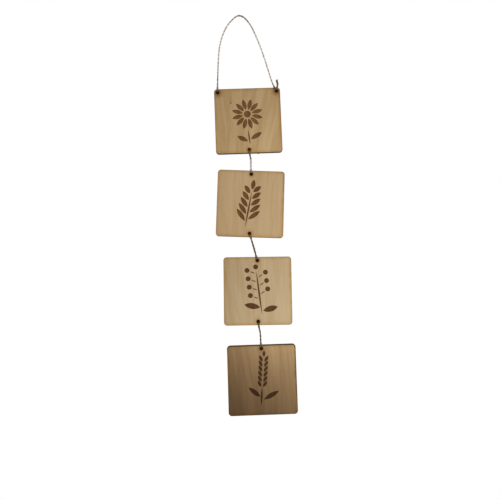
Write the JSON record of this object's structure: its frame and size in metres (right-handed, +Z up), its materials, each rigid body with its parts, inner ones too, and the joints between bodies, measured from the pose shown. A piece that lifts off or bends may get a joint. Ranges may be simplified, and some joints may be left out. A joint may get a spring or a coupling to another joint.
{
  "type": "hanging wall sign",
  "caption": "Square engraved plywood tiles strung one below another on twine, with a loop of twine at the top to hang them from a nail or hook.",
  "frame": {"origin": "hanging point, on the underside of the twine at the top of the hanger's loop", "axes": "+X right and +Z up as the sign hangs, the engraved fronts face -Y and the knots are on the +Y side"},
  "size_m": [0.0831, 0.0104, 0.4512],
  "materials": {
    "face_veneer": "bare pale veneer with straight vertical grain, engraved brown, rim scorched by the laser",
    "core_ply": "core ply, seen only as a scorched dark edge",
    "back_veneer": "bare pale veneer, rim scorched by the laser",
    "twine": "two-ply natural twine, dull and a little hairy"
  },
  "bodies": {
    "hanger": {"hanger_cord": "twine"},
    "tile_1": {"tile_1_front_veneer": "face_veneer", "tile_1_core_ply": "core_ply", "tile_1_back_veneer": "back_veneer", "hanger_end_left": "twine", "hanger_end_right": "twine", "hanger_knot_left": "twine", "hanger_knot_right": "twine"},
    "link_1": {"link_1_cord": "twine", "link_1_upper_knot": "twine"},
    "tile_2": {"tile_2_front_veneer": "face_veneer", "tile_2_core_ply": "core_ply", "tile_2_back_veneer": "back_veneer", "link_1_end": "twine", "link_1_lower_knot": "twine"},
    "link_2": {"link_2_cord": "twine", "link_2_upper_knot": "twine"},
    "tile_3": {"tile_3_front_veneer": "face_veneer", "tile_3_core_ply": "core_ply", "tile_3_back_veneer": "back_veneer", "link_2_end": "twine", "link_2_lower_knot": "twine"},
    "link_3": {"link_3_cord": "twine", "link_3_upper_knot": "twine"},
    "tile_4": {"tile_4_front_veneer": "face_veneer", "tile_4_core_ply": "core_ply", "tile_4_back_veneer": "back_veneer", "link_3_end": "twine", "link_3_lower_knot": "twine"}
  },
  "joints": [
    {"name": "tile_1_nod", "type": "hinge", "parent": "hanger", "child": "tile_1", "pos_m": [0.00232, 0, -0.08236], "axis": [-0.9996, 0, 0.0297], "range_deg": [-45, 60]},
    {"name": "link_1_sway", "type": "hinge", "parent": "tile_1", "child": "link_1", "pos_m": [0.00191, 0, -0.15588], "axis": [0, 1, 0], "range_deg": [-25, 25]},
    {"name": "tile_2_nod", "type": "hinge", "parent": "link_1", "child": "tile_2", "pos_m": [0.00219, 0, -0.17742], "axis": [-0.9952, 0, 0.0976], "range_deg": [-45, 60]},
    {"name": "link_2_sway", "type": "hinge", "parent": "tile_2", "child": "link_2", "pos_m": [-0.00416, 0, -0.25063], "axis": [0, 1, 0], "range_deg": [-25, 25]},
    {"name": "tile_3_nod", "type": "hinge", "parent": "link_2", "child": "tile_3", "pos_m": [0.001, 0, -0.27457], "axis": [-0.9985, 0, 0.0541], "range_deg": [-45, 60]},
    {"name": "link_3_sway", "type": "hinge", "parent": "tile_3", "child": "link_3", "pos_m": [-0.00129, 0, -0.34805], "axis": [0, 1, 0], "range_deg": [-25, 25]},
    {"name": "tile_4_nod", "type": "hinge", "parent": "link_3", "child": "tile_4", "pos_m": [-0.00025, 0, -0.37091], "axis": [-0.9993, 0, 0.0366], "range_deg": [-45, 60]}
  ]
}
